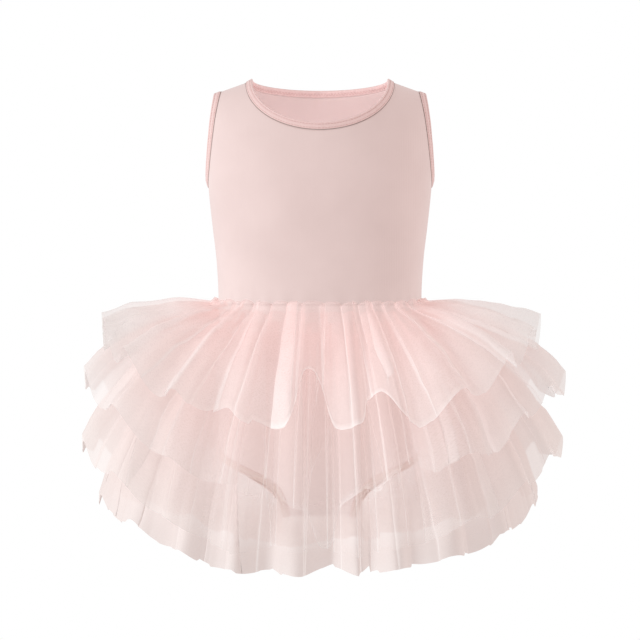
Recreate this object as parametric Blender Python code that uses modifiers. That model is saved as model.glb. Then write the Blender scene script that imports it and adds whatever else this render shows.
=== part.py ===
"""A child's ballet dress, filled out as when it is worn: a sleeveless leotard with a skirt of four tulle frills.

Lengths are in metres, +Z is up and the front faces -Y. The origin lies midway between the two shoulder seams,
where the wearer's shoulders carry the dress.
"""

import math
from collections import namedtuple

import bpy
from mathutils import Vector

# Heights of the leotard's landmarks
NECK_POINT_Z = 0.0025
UNDERARM_Z = -0.094
WAIST_Z = -0.200
HIP_Z = -0.290
LEG_TOP_Z = -0.335
GUSSET_END_Z = -0.391
CROTCH_Z = -0.396

# The body form that the leotard is stretched over: an oval section at each height
Section = namedtuple("Section", "height half_width front_depth back_depth")
SECTIONS = (
    Section(CROTCH_Z, 0.0860, 0.074, 0.082),
    Section(LEG_TOP_Z, 0.0910, 0.074, 0.083),
    Section(HIP_Z, 0.0945, 0.075, 0.083),
    Section(-0.240, 0.0945, 0.077, 0.073),
    Section(WAIST_Z, 0.0930, 0.075, 0.065),
    Section(-0.160, 0.0950, 0.075, 0.068),
    Section(-0.130, 0.0985, 0.075, 0.074),
    Section(UNDERARM_Z, 0.1022, 0.074, 0.077),
    Section(-0.050, 0.1040, 0.074, 0.077),
    Section(NECK_POINT_Z, 0.1040, 0.073, 0.076),
)
OVAL_POWER = 2.5
SHOULDER_SLOPE = 0.36
FRONT, BACK = -1, 1

# Edges of the knit panels round the neck, the arms and the legs
NECK_HALF_WIDTH = 0.068
FRONT_NECK_Z = -0.0430
BACK_NECK_Z = -0.0082
ArmPoint = namedtuple("ArmPoint", "rise angle")
ARMHOLE = (
    ArmPoint(0.00, 0.0),
    ArmPoint(0.06, 6.5),
    ArmPoint(0.20, 14.0),
    ArmPoint(0.45, 21.0),
    ArmPoint(0.75, 27.0),
    ArmPoint(1.00, 32.7),
)
LegPoint = namedtuple("LegPoint", "from_middle height")
CROTCH_HALF_WIDTH = 0.028
LEG_FRONT = (
    LegPoint(0.0910, LEG_TOP_Z),
    LegPoint(0.0860, -0.3385),
    LegPoint(0.0760, -0.3435),
    LegPoint(0.0630, -0.3490),
    LegPoint(0.0490, -0.3555),
    LegPoint(0.0375, -0.3645),
    LegPoint(0.0310, -0.3770),
    LegPoint(CROTCH_HALF_WIDTH, GUSSET_END_Z),
)
LEG_BACK = (
    LegPoint(0.0910, LEG_TOP_Z),
    LegPoint(0.0870, -0.3405),
    LegPoint(0.0790, -0.3480),
    LegPoint(0.0680, -0.3560),
    LegPoint(0.0560, -0.3640),
    LegPoint(0.0440, -0.3720),
    LegPoint(0.0350, -0.3810),
    LegPoint(CROTCH_HALF_WIDTH, GUSSET_END_Z),
)

# Cloth walls and the gaps between pieces
KNIT_WALL = 0.0012
TULLE_WALL = 0.0010
SEAM_GAP = 0.0003
SHOULDER_GAP = 0.0008
MERGE = 0.00005

# Folded bindings. A flare is in degrees, where the strip lies lowest and where it lies highest.
Binding = namedtuple("Binding", "width wall low_flare high_flare")
NECK_BINDING = Binding(0.0064, 0.0022, 6.0, 10.0)
ARM_BINDING = Binding(0.0068, 0.0022, 12.0, 0.0)
LEG_BINDING = Binding(0.0070, 0.0022, 6.0, 6.0)

# Grid of a knit half panel, from the centre line to its edge and from the waist to its end
NECK_COLUMNS = 6
STRAP_COLUMNS = 4
SIDE_ROWS = 4
ARMHOLE_ROWS = 8
BRIEF_COLUMNS = 7
HIP_ROWS = 4
GUSSET_ROWS = 6
GUSSET_COLUMNS = 4

# Tulle frills. A slope is in degrees below the horizontal, where the frill leaves the waist and at its hem.
Frill = namedtuple("Frill", "drop rows side_cut front_cut side_start side_end front_start front_end turn side_fold")
FRILLS = (
    Frill(0.0012, 4, 0.113, 0.132, 0.0, 26.0, 44.0, 68.0, 0.4, 0.018),
    Frill(0.0100, 4, 0.143, 0.178, 4.0, 53.0, 51.0, 75.0, 5.6, 0.021),
    Frill(0.0190, 5, 0.172, 0.219, 22.0, 64.0, 56.0, 79.0, 5.2, 0.016),
    Frill(0.0280, 5, 0.190, 0.223, 36.0, 74.0, 60.0, 83.0, 4.9, 0.009),
)
FOLDS = 22
POINTS_PER_FOLD = 6
FRONT_FOLD_HEIGHT = 0.0100
# How far the folds at the sides rise and fall straight up and down instead of square to the cloth
UPRIGHT_SHARE = 0.85
GATHERS = 44
GATHER_HEIGHT = 0.0010
# How far the hem points past its mean at each fold, and the share of that which is lost at the sides
HEM_POINT = 0.005
HEM_CALM = 0.7
HEM_SWING = 0.003
HEM_CORNER = 0.003
SPACING_SWING = 0.05
SLOPE_STEPS = 12

PINK_KNIT = (0.80, 0.60, 0.57, 1.0)
PINK_BINDING = (0.84, 0.58, 0.55, 1.0)
PINK_TULLE = (0.88, 0.70, 0.68, 1.0)


def table_value(rows, at, column):
    """The column's value at a value of the first column, on a smooth curve through the rows."""
    keys = [row[0] for row in rows]
    values = [getattr(row, column) for row in rows]
    last = len(rows) - 1
    at = min(max(at, keys[0]), keys[last])
    k = min(sum(key <= at for key in keys[1:]), last - 1)
    step = keys[k + 1] - keys[k]
    slopes = []
    for end in (k, k + 1):
        low, high = max(end - 1, 0), min(end + 1, last)
        slopes.append((values[high] - values[low]) / (keys[high] - keys[low]) * step)
    t = (at - keys[k]) / step
    rise = t * t * (3 - 2 * t)
    ends = values[k] * (1 - rise) + values[k + 1] * rise
    return ends + slopes[0] * t * (1 - t) ** 2 - slopes[1] * t * t * (1 - t)


def closing(share):
    """How far a section has closed in: 1 where that starts, 0 over the shoulder or under the crotch."""
    return math.sqrt(max(1 - share * share, 0.0))


def half_width(height):
    return table_value(SECTIONS, height, "half_width")


def half_depth(height, side):
    depth = table_value(SECTIONS, height, "front_depth" if side == FRONT else "back_depth")
    if height > UNDERARM_Z:
        depth *= closing((height - UNDERARM_Z) / (NECK_POINT_Z - UNDERARM_Z))
    if height < HIP_Z:
        depth *= closing((HIP_Z - height) / (HIP_Z - CROTCH_Z))
    return depth


def shoulder_drop(x):
    return SHOULDER_SLOPE * (abs(x) - NECK_HALF_WIDTH)


def form_point(angle, height, side):
    """A point of the form: the angle is 0 at the side seam and 90 on the centre line."""
    turn = math.radians(angle)
    power = 2 / OVAL_POWER
    rise = max(height - UNDERARM_Z, 0.0) / (NECK_POINT_Z - UNDERARM_Z)
    x = half_width(height) * max(math.cos(turn), 0.0) ** power
    y = half_depth(height, side) * max(math.sin(turn), 0.0) ** power
    y += (SEAM_GAP + SHOULDER_GAP * rise) / 2
    return Vector((x, side * y, height - shoulder_drop(x) * rise))


def form_normal(angle, height, side):
    """The form's way out at a point, from two short steps that stay on it."""
    lean = 1.0 if angle < 45 else -1.0
    inner = min(max(height, CROTCH_Z + 0.001), NECK_POINT_Z - 0.001)
    here = form_point(angle, inner, side)
    across = form_point(angle + lean, inner, side) - here
    up = form_point(angle, inner + 0.0005, side) - here
    normal = across.cross(up).normalized()
    outward = Vector((here.x, here.y, 0.0))
    if height > UNDERARM_Z:
        outward.z = height - UNDERARM_Z
    if height < HIP_Z:
        outward.z = height - HIP_Z
    return normal if normal.dot(outward) > 0 else -normal


def angle_at(x, height):
    return math.degrees(math.acos(min(abs(x) / half_width(height), 1.0) ** (OVAL_POWER / 2)))


def height_under(x, z):
    """The form height whose point at x lies at z, where the shoulders slope."""
    drop = shoulder_drop(x)
    reach = NECK_POINT_Z - UNDERARM_Z
    return (z * reach - drop * UNDERARM_Z) / (reach - drop)


def between(first, last, steps):
    """Evenly spaced values from first to last, both included."""
    return [first + (last - first) * k / steps for k in range(steps + 1)]


def filled_patch(bottom, top, left, right):
    """The grid of (angle, height) pairs inside four edges that share their corners."""
    columns, rows = len(bottom) - 1, len(left) - 1
    grid = []
    for j in range(rows + 1):
        v = j / rows
        line = []
        for i in range(columns + 1):
            u = i / columns
            pair = []
            for k in (0, 1):
                edges = (1 - v) * bottom[i][k] + v * top[i][k] + (1 - u) * left[j][k] + u * right[j][k]
                low = (1 - u) * bottom[0][k] + u * bottom[columns][k]
                high = (1 - u) * top[0][k] + u * top[columns][k]
                pair.append(edges - (1 - v) * low - v * high)
            line.append(tuple(pair))
        grid.append(line)
    return grid


def neckline(side):
    """A panel's neck edge from the centre line to the shoulder, a quarter of an oval."""
    low = FRONT_NECK_Z if side == FRONT else BACK_NECK_Z
    edge = []
    for turn in between(math.pi / 2, 0.0, NECK_COLUMNS):
        x = NECK_HALF_WIDTH * math.cos(turn)
        height = height_under(x, NECK_POINT_Z - (NECK_POINT_Z - low) * math.sin(turn))
        edge.append((angle_at(x, height), height))
    return edge


def armhole():
    """A panel's armhole edge from the underarm to the shoulder, with closer points at both ends."""
    edge = []
    for t in between(0.0, 1.0, ARMHOLE_ROWS):
        rise = math.sin(t * math.pi / 2) * (1 - (1 - t) ** 3)
        edge.append((table_value(ARMHOLE, rise, "angle"), UNDERARM_Z + rise * (NECK_POINT_Z - UNDERARM_Z)))
    return edge


def leg_edge(side):
    """A panel's leg edge from the side seam to the gusset."""
    points = LEG_FRONT if side == FRONT else LEG_BACK
    return [(angle_at(point.from_middle, point.height), point.height) for point in points]


def bodice_grid(side):
    base = WAIST_Z + SEAM_GAP
    neck = neckline(side)
    arm = armhole()
    shoulder = [(angle, NECK_POINT_Z) for angle in between(neck[-1][0], arm[-1][0], STRAP_COLUMNS)]
    bottom = [(angle, base) for angle in between(90.0, 0.0, NECK_COLUMNS + STRAP_COLUMNS)]
    left = [(90.0, height) for height in between(base, neck[0][1], SIDE_ROWS + ARMHOLE_ROWS)]
    right = [(0.0, height) for height in between(base, UNDERARM_Z, SIDE_ROWS)]
    return filled_patch(bottom, neck + shoulder[1:], left, right + arm[1:])


def brief_grid(side):
    leg = leg_edge(side)
    right = [(0.0, height) for height in between(WAIST_Z, LEG_TOP_Z, HIP_ROWS)] + leg[1:]
    left = [(90.0, height) for height in between(WAIST_Z, GUSSET_END_Z, len(right) - 1)]
    bottom = [(angle, WAIST_Z) for angle in between(90.0, 0.0, BRIEF_COLUMNS)]
    top = [(angle, GUSSET_END_Z) for angle in between(90.0, leg[-1][0], BRIEF_COLUMNS)]
    return filled_patch(bottom, top, left, right)


def gusset_point(x, share):
    """A point of the crotch strip: the share goes from -1 at the front panel to 1 at the back panel."""
    side = FRONT if share < 0 else BACK
    end = form_point(angle_at(x, GUSSET_END_Z), GUSSET_END_Z, side)
    height = CROTCH_Z + (GUSSET_END_Z - CROTCH_Z) * share * share
    return Vector((x, (end.y - 2 * SEAM_GAP * side) * abs(share), height))


def grid_faces(rows, columns, round_rows, round_columns):
    """Quads over a grid of points, which may join up from its last row or column to its first."""
    faces = []
    for j in range(rows if round_rows else rows - 1):
        for i in range(columns if round_columns else columns - 1):
            next_j, next_i = (j + 1) % rows, (i + 1) % columns
            face = (j * columns + i, j * columns + next_i, next_j * columns + next_i, next_j * columns + i)
            faces.append(face)
    return faces


def new_piece(name, points, faces, material):
    mesh = bpy.data.meshes.new(name)
    mesh.from_pydata(points, [], faces)
    mesh.materials.append(material)
    mesh.shade_smooth()
    piece = bpy.data.objects.new(name, mesh)
    dress.objects.link(piece)
    return piece


def add_wall(piece, wall, offset):
    solid = piece.modifiers.new("Wall", "SOLIDIFY")
    solid.thickness = wall
    solid.offset = offset


def knit_panel(name, grid, side, material):
    """A symmetric panel on the form, with its wall inside: half of it is made and mirrored."""
    points = []
    for line in grid:
        row = [form_point(angle, height, side) for angle, height in line]
        row[0].x = 0.0
        points.extend(row)
    faces = grid_faces(len(grid), len(grid[0]), False, False)
    rising = grid[-1][0][1] > grid[0][0][1]
    if rising == (side == BACK):
        faces = [face[::-1] for face in faces]
    piece = new_piece(name, points, faces, material)
    mirror = piece.modifiers.new("Other half", "MIRROR")
    mirror.use_clip = True
    mirror.merge_threshold = MERGE
    add_wall(piece, KNIT_WALL, -1.0)


def crotch_gusset(material):
    xs = between(-CROTCH_HALF_WIDTH, CROTCH_HALF_WIDTH, GUSSET_COLUMNS)
    points = [gusset_point(x, share) for share in between(-1.0, 1.0, GUSSET_ROWS) for x in xs]
    faces = [face[::-1] for face in grid_faces(GUSSET_ROWS + 1, len(xs), False, False)]
    add_wall(new_piece("crotch_gusset", points, faces, material), KNIT_WALL, -1.0)


def stations(edge, side):
    """The points of a panel's edge, each with the form's way out."""
    return [(form_point(*pair, side), form_normal(*pair, side)) for pair in edge]


def other_side(run):
    return [(Vector((-point.x, point.y, point.z)), Vector((-way.x, way.y, way.z))) for point, way in run]


def meeting(first, second):
    """One station halfway between two that face each other over a seam."""
    return (first[0] + second[0]) / 2, (first[1] + second[1]).normalized()


def neck_loop():
    runs = [stations(neckline(side), side) for side in (FRONT, BACK)]
    shoulder = meeting(runs[0][-1], runs[1][-1])
    half = runs[0][:-1] + [shoulder] + runs[1][-2::-1]
    return half + other_side(half[-2:0:-1])


def arm_loop():
    front, back = (stations(armhole(), side) for side in (FRONT, BACK))
    return [meeting(front[0], back[0])] + front[1:-1] + [meeting(front[-1], back[-1])] + back[-2:0:-1]


def leg_loop():
    front, back = (stations(leg_edge(side), side) for side in (FRONT, BACK))
    down = Vector((0.0, 0.0, -1.0))
    shares = between(-1.0, 1.0, GUSSET_ROWS)[1:-1]
    under = [(gusset_point(CROTCH_HALF_WIDTH, share), down) for share in shares]
    return [meeting(front[0], back[0])] + front[1:] + under + back[:0:-1]


def binding_ring(name, loop, binding, material):
    """A folded strip that carries a panel's edge on into the opening."""
    count = len(loop)
    centre = sum((point for point, _ in loop), Vector()) / count
    lowest = min(point.z for point, _ in loop)
    highest = max(point.z for point, _ in loop)
    inward_ways = []
    for k, (point, way) in enumerate(loop):
        along = (loop[(k + 1) % count][0] - loop[k - 1][0]).normalized()
        inward_ways.append(along.cross(way).normalized())
    agreement = sum((centre - loop[k][0]).dot(inward_ways[k]) for k in range(count))
    turned = 1 if agreement > 0 else -1
    points = []
    for k, (point, way) in enumerate(loop):
        inwards = inward_ways[k] * turned
        out = (way - inwards * way.dot(inwards)).normalized()
        share = (point.z - lowest) / (highest - lowest)
        lean = math.radians(binding.low_flare + (binding.high_flare - binding.low_flare) * share)
        strip = inwards * math.cos(lean) + out * math.sin(lean)
        face = out * math.cos(lean) - inwards * math.sin(lean)
        root = point + inwards * (SEAM_GAP + binding.wall / 2 * math.sin(lean)) - out * (KNIT_WALL / 2)
        for far, high in ((0, -1), (0, 1), (0.85, 1), (1, 0), (0.85, -1)):
            points.append(root + strip * (binding.width * far) + face * (binding.wall / 2 * high))
    piece = new_piece(name, points, grid_faces(count, 5, True, True), material)
    if signed_volume(piece.data) < 0:
        piece.data.flip_normals()


def signed_volume(mesh):
    """Six times the volume that a closed mesh holds, below zero where its faces face inwards."""
    mesh.calc_loop_triangles()
    total = 0.0
    for triangle in mesh.loop_triangles:
        a, b, c = (mesh.vertices[index].co for index in triangle.vertices)
        total += a.dot(b.cross(c))
    return total


def waist_station(turn, height, clearance):
    """A point at a clearance off the brief, at a turn round it, with the way out."""
    power = 2 / OVAL_POWER
    wide = half_width(height) + clearance
    deep = half_depth(height, FRONT if math.sin(turn) < 0 else BACK) + clearance
    across, along = math.cos(turn), math.sin(turn)
    x = math.copysign(wide * abs(across) ** power, across)
    y = math.copysign(deep * abs(along) ** power, along)
    return Vector((x, y, height)), Vector((across / wide, along / deep, 0.0)).normalized()


def frill_point(frill, t, share):
    """A point of a frill's middle surface: t goes once round it, the share from the waist to the hem."""
    swing = math.tau * t
    turn = swing + SPACING_SWING * (math.sin(3 * swing + 1.0) + math.sin(7 * swing) / 2)
    sideways = math.cos(turn) ** 2
    fold = math.cos(FOLDS * swing)
    cut = frill.front_cut + (frill.side_cut - frill.front_cut) * sideways
    cut += HEM_POINT * (1 - HEM_CALM * sideways) * fold * math.sin(2 * swing + frill.turn)
    cut += HEM_SWING * math.sin(5 * turn + frill.turn) - HEM_CORNER * math.cos(4 * turn)
    start = frill.front_start + (frill.side_start - frill.front_start) * sideways
    end = frill.front_end + (frill.side_end - frill.front_end) * sideways
    clearance = SEAM_GAP + TULLE_WALL / 2 + GATHER_HEIGHT
    point, out = waist_station(turn, WAIST_Z - frill.drop, clearance)
    for step in range(SLOPE_STEPS):
        slope = math.radians(start + (end - start) * share * (step + 0.5) / SLOPE_STEPS)
        point += (out * math.cos(slope) + DOWN * math.sin(slope)) * (cut * share / SLOPE_STEPS)
    slope = math.radians(start + (end - start) * share)
    fold_height = FRONT_FOLD_HEIGHT + (frill.side_fold - FRONT_FOLD_HEIGHT) * sideways
    lift = fold * fold_height * share**0.8 * (0.85 + 0.15 * math.sin(4 * swing))
    lift += GATHER_HEIGHT * math.cos(GATHERS * swing) * (1 - share) ** 3
    upright = UPRIGHT_SHARE * sideways
    outwards = math.sin(slope) * (1 - upright)
    upwards = math.cos(slope) + (1 - math.cos(slope)) * upright
    return point + (out * outwards - DOWN * upwards) * lift


def tulle_frill(number, frill, material):
    count = FOLDS * POINTS_PER_FOLD
    points = [frill_point(frill, i / count, j / frill.rows) for j in range(frill.rows + 1) for i in range(count)]
    faces = [face[::-1] for face in grid_faces(frill.rows + 1, count, False, True)]
    add_wall(new_piece(f"tulle_tier_{number}", points, faces, material), TULLE_WALL, 0.0)


def new_material(name, colour, roughness):
    material = bpy.data.materials.new(name)
    material.use_nodes = True
    shader = material.node_tree.nodes["Principled BSDF"]
    shader.inputs["Base Color"].default_value = colour
    shader.inputs["Roughness"].default_value = roughness
    return material


def make_leotard(knit, trim):
    for side, name in ((FRONT, "front"), (BACK, "back")):
        knit_panel(f"bodice_{name}", bodice_grid(side), side, knit)
        knit_panel(f"brief_{name}", brief_grid(side), side, knit)
    crotch_gusset(knit)
    binding_ring("neck_binding", neck_loop(), NECK_BINDING, trim)
    for name, loop, binding in (("arm", arm_loop(), ARM_BINDING), ("leg", leg_loop(), LEG_BINDING)):
        binding_ring(f"{name}_binding_left", loop, binding, trim)
        binding_ring(f"{name}_binding_right", other_side(loop), binding, trim)


DOWN = Vector((0.0, 0.0, -1.0))
for old in list(bpy.data.objects):
    bpy.data.objects.remove(old)
dress = bpy.data.collections.new("Ballet dress")
bpy.context.scene.collection.children.link(dress)
make_leotard(
    new_material("Brushed stretch knit", PINK_KNIT, 0.75),
    new_material("Folded knit binding", PINK_BINDING, 0.70),
)
net = new_material("Tulle net", PINK_TULLE, 0.80)
for tier, frill_sizes in enumerate(FRILLS, start=1):
    tulle_frill(tier, frill_sizes, net)
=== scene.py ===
"""A child's ballet dress in pale pink: a knit leotard, its bindings and stitches, and four tulle frills."""

import math
import random
from collections import namedtuple

import bpy
import numpy as np
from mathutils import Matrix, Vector


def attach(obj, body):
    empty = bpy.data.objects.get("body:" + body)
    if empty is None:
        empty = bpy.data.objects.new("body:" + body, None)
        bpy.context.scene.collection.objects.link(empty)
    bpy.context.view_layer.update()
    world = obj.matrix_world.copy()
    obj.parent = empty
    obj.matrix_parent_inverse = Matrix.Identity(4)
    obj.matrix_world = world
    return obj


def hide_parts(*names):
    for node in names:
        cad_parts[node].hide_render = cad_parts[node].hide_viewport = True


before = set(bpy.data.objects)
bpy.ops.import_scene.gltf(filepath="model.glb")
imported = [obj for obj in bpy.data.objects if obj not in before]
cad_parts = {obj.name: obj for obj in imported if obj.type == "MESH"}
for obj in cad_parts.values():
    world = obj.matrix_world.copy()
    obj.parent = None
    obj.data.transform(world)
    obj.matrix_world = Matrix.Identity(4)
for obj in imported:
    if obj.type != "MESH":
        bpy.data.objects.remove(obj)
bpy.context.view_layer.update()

# Lengths are in metres. Angles are in degrees, but the frills' turns, spacing and snips are in radians.

# The photograph: its size, the real length of one of its pixels and where the shoulder seams lie in it
PHOTO_SIZE = 640
PIXEL = 0.00092
SHOULDER_ROW = 86
CAMERA_DISTANCE = 2.6
CAMERA_RISE = 1.5
SENSOR = 0.036

# Landmarks of the leotard, as the solids have them
NECK_POINT_Z = 0.0025
UNDERARM_Z = -0.094
WAIST_Z = -0.200
HIP_Z = -0.290
LEG_TOP_Z = -0.335
GUSSET_END_Z = -0.391
CROTCH_Z = -0.396
Section = namedtuple("Section", "height half_width front_depth back_depth")
SECTIONS = (
    Section(CROTCH_Z, 0.0860, 0.074, 0.082),
    Section(LEG_TOP_Z, 0.0910, 0.074, 0.083),
    Section(HIP_Z, 0.0945, 0.075, 0.083),
    Section(-0.240, 0.0945, 0.077, 0.073),
    Section(WAIST_Z, 0.0930, 0.075, 0.065),
    Section(-0.160, 0.0950, 0.075, 0.068),
    Section(-0.130, 0.0985, 0.075, 0.074),
    Section(UNDERARM_Z, 0.1022, 0.074, 0.077),
    Section(-0.050, 0.1040, 0.074, 0.077),
    Section(NECK_POINT_Z, 0.1040, 0.073, 0.076),
)
OVAL_POWER = 2.5
SHOULDER_SLOPE = 0.36
FRONT, BACK = -1, 1
NECK_HALF_WIDTH = 0.068
FRONT_NECK_Z = -0.0430
BACK_NECK_Z = -0.0082
ArmPoint = namedtuple("ArmPoint", "rise angle")
ARMHOLE = (
    ArmPoint(0.00, 0.0),
    ArmPoint(0.06, 6.5),
    ArmPoint(0.20, 14.0),
    ArmPoint(0.45, 21.0),
    ArmPoint(0.75, 27.0),
    ArmPoint(1.00, 32.7),
)
LegPoint = namedtuple("LegPoint", "from_middle height")
CROTCH_HALF_WIDTH = 0.028
LEG_FRONT = (
    LegPoint(0.0910, LEG_TOP_Z),
    LegPoint(0.0860, -0.3385),
    LegPoint(0.0760, -0.3435),
    LegPoint(0.0630, -0.3490),
    LegPoint(0.0490, -0.3555),
    LegPoint(0.0375, -0.3645),
    LegPoint(0.0310, -0.3770),
    LegPoint(CROTCH_HALF_WIDTH, GUSSET_END_Z),
)
LEG_BACK = (
    LegPoint(0.0910, LEG_TOP_Z),
    LegPoint(0.0870, -0.3405),
    LegPoint(0.0790, -0.3480),
    LegPoint(0.0680, -0.3560),
    LegPoint(0.0560, -0.3640),
    LegPoint(0.0440, -0.3720),
    LegPoint(0.0350, -0.3810),
    LegPoint(CROTCH_HALF_WIDTH, GUSSET_END_Z),
)

# Knit cloth: its wall, the gap at its seams, how many points lie across its panels, and its waist puckers
KNIT_WALL = 0.0009
SEAM_GAP = 0.00015
NECK_COLUMNS, STRAP_COLUMNS = 36, 18
SIDE_ROWS, ARM_ROWS = 36, 42
BRIEF_COLUMNS, HIP_ROWS, LEG_STEPS = 36, 30, 42
GUSSET_ROWS, GUSSET_COLUMNS = 24, 20
PUCKERS = 34
PUCKER_HEIGHT = 0.00035
PUCKER_REACH = 0.010
LEAST_PUCKER = 0.01

# Bindings: the folded strips, whose profile goes from the seam to the free edge and back underneath
Binding = namedtuple("Binding", "width wall low_flare high_flare")
NECK_BINDING = Binding(0.0067, 0.0024, 6.0, 10.0)
ARM_BINDING = Binding(0.0071, 0.0026, 12.0, 0.0)
LEG_BINDING = Binding(0.0072, 0.0026, 6.0, 6.0)
ProfilePoint = namedtuple("ProfilePoint", "far high")
BINDING_PROFILE = (
    ProfilePoint(0.00, 0.25),
    ProfilePoint(0.03, 0.62),
    ProfilePoint(0.08, 0.88),
    ProfilePoint(0.14, 0.96),
    ProfilePoint(0.20, 0.78),
    ProfilePoint(0.26, 0.96),
    ProfilePoint(0.36, 1.05),
    ProfilePoint(0.50, 1.08),
    ProfilePoint(0.62, 0.98),
    ProfilePoint(0.69, 0.72),
    ProfilePoint(0.75, 0.95),
    ProfilePoint(0.84, 1.10),
    ProfilePoint(0.92, 0.95),
    ProfilePoint(0.98, 0.50),
    ProfilePoint(1.00, 0.00),
    ProfilePoint(0.98, -0.45),
    ProfilePoint(0.92, -0.80),
    ProfilePoint(0.80, -0.92),
    ProfilePoint(0.60, -0.85),
    ProfilePoint(0.40, -0.88),
    ProfilePoint(0.20, -0.88),
    ProfilePoint(0.08, -0.80),
    ProfilePoint(0.00, -0.45),
)
StripFrame = namedtuple("StripFrame", "root strip face")
PROFILE_STEP = 0.001

# Threads: two rows of needle stitches on a binding and loops behind them. A thin tube lies in each binding's
# seam: dark at the neck and armholes, as painted shade in the ditch, and in the thread's colour at the legs
STITCH_LENGTH = 0.0021
STITCH_STEP = 0.0027
STITCH_RADIUS = 0.00022
NEEDLE_ROWS = (0.20, 0.69)
NEEDLE_HEIGHT = 0.44
LOOPER_STEP = 0.0016
LOOPER_LENGTH = 0.55
LOOPER_HEIGHT = -0.45
LOOPER_TILT = 68
DITCH_SIDES = 6
DITCH_RADIUS = 0.0004
DITCH_HEIGHT = 0.0004

# Tulle frills: the solids' own sizes with the number of laps in each, then a frill's points and its seed
Frill = namedtuple(
    "Frill",
    "drop side_cut front_cut side_start side_end front_start front_end turn side_fold laps",
)
FRILLS = (
    Frill(0.0012, 0.113, 0.132, 0.0, 26.0, 44.0, 68.0, 0.4, 0.018, 26),
    Frill(0.0100, 0.143, 0.178, 4.0, 53.0, 51.0, 75.0, 5.6, 0.021, 24),
    Frill(0.0190, 0.172, 0.219, 22.0, 64.0, 56.0, 79.0, 5.2, 0.016, 22),
    Frill(0.0280, 0.190, 0.223, 36.0, 74.0, 60.0, 83.0, 4.9, 0.009, 22),
)
FRILL_COLUMNS = 1200
FRILL_ROWS = 32
ROW_CROWDING = 1.4
FRILL_SEED = 40

# Large folds: they grow from the waist to the hem, and at the sides they rise instead of standing out
FOLDS = 22
FRONT_FOLD_HEIGHT = 0.0100
UPRIGHT_SHARE = 0.85
TROUGH_LOSS = 0.85
SPACING_SWING = 0.05
FOLD_GROWTH = 0.8
FOLD_VARIETY = 0.15

# Small gathers: how they stand at the seam, open below it and flatten out towards the hem
GATHERS = 42
GATHER_HEIGHT = 0.0019
GATHER_OVERLAP = 1.7
GATHER_RELEASE = 0.4
GATHER_DRIFT = 2
GATHER_AT_SEAM = 0.35
GATHER_OPENS = 0.03
GATHER_LOSS = 0.35
PUFF_HEIGHT = 0.0030
PUFF_PLACE = 0.022
PUFF_REACH = 0.018

# The seam: the frills stand clear of the knit, their headings rise over it and are pinched in at the sides
WAIST_CLEARANCE = 0.0020
HEADING = 0.0034
HEADING_REACH = 0.025
HEADING_BASE = 0.55
PINCH = 0.0014
PINCH_REACH = 0.012

# Short laps of the cloth over itself. Each draws its place, drift, width, strength and end from these.
LAP_HEIGHT = 0.0022
LAP_SHIFT = 0.4
LAP_DRIFT = 0.012
LAP_WIDTHS = (0.003, 0.008)
LAP_STRENGTHS = (1.7, 3.0)
LAP_ENDS = (0.4, 1.7)
LAP_FADE = 10
LAP_TOP_SHARE = 0.45

# Random creases: waves that cross the cloth, whose way round is measured at one mean radius
CRUMPLE_WAVES = 14
CRUMPLE_HEIGHT = 0.010
CRUMPLE_LENGTHS = (0.016, 0.050)
CRUMPLE_RADIUS = 0.17
CRUMPLE_GROWTH = 0.7

# The hem: its waves and corners, the snips of its raw edge, and where it is lifted or let down.
# A place is an angle round the waist, with -90 at the centre front.
HEM_POINT = 0.003
HEM_CALM = 0.93
HEM_SWING = 0.003
HEM_CORNER = 0.003
HEM_SNIP = 0.004
SNIP_STEP = 0.006
SNIP_LENGTHS = (0.05, 0.19)
HemLift = namedtuple("HemLift", "tier place width height")
HEM_LIFTS = (
    HemLift(1, -92.5, 4.2, 0.058),
    HemLift(1, -73.5, 4.2, 0.040),
    HemLift(1, -118.0, 5.0, 0.012),
    HemLift(2, 0.0, 15.0, -0.014),
    HemLift(3, 2.0, 15.0, -0.011),
    HemLift(4, -93.0, 14.0, 0.005),
    HemLift(2, -91.0, 9.0, -0.014),
    HemLift(2, -89.0, 2.6, -0.036),
    HemLift(2, -106.0, 5.0, 0.016),
    HemLift(2, -64.0, 7.0, 0.020),
    HemLift(3, -97.0, 8.0, 0.008),
)

# The nets: how much of the light each stops and its colour, from the waist to the hem.
# Each stands for several nets seen through each other, so its closeness and its colour change on the way.
# The lower frills' colours are darker and pinker than the top frill's, as painted shade from the frills over
# them, which cast no shadows.
# A band is the share of the cut over which the closeness changes. A folded or bright edge is denser, and its
# colour is lightened there as a painted highlight.
# The colours change with the distance from the waist, as a share of the longest cut in front.
Net = namedtuple(
    "Net", "waist middle hem side hem_line line_reach waist_colour middle_colour hem_colour"
)
NETS = (
    Net(0.44, 0.34, 0.34, 0.44, 1.0, 30.0, "FDD8D3", "F9E3DF", "EBDEDA"),
    Net(0.34, 0.22, 0.18, 0.72, 0.8, 14.0, "F6CAC4", "F0CEC8", "EADCD8"),
    Net(0.30, 0.20, 0.12, 0.84, 0.1, 40.0, "F2C5BF", "EBC9C3", "E7D7D2"),
    Net(0.30, 0.20, 0.92, 0.94, 0.1, 60.0, "F2C5BF", "EBC9C3", "E2D0CB"),
)
EDGE_DENSITY = 0.25
EDGE_SHARPNESS = 0.45
EDGE_AT_SIDE = 0.15
HEM_LINE_PLACE = -82
WAIST_BAND = 0.35
SIDE_BAND = 0.45
HEM_BAND_START = 0.68
HEM_BAND = 0.24
LONGEST_CUT = 0.223
SIDE_FADE = 0.7

# Colours, from the darker to the lighter where a cloth has two
KNIT_LOW, KNIT_HIGH = "E0C4BF", "E6CAC5"
THREAD_LOW, THREAD_HIGH = "CC9A94", "DCB0AA"
# Painted shade in the ditch of the neck and armhole seams
DITCH_SHADE_LOW, DITCH_SHADE_HIGH = "8C736C", "A88D86"
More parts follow.
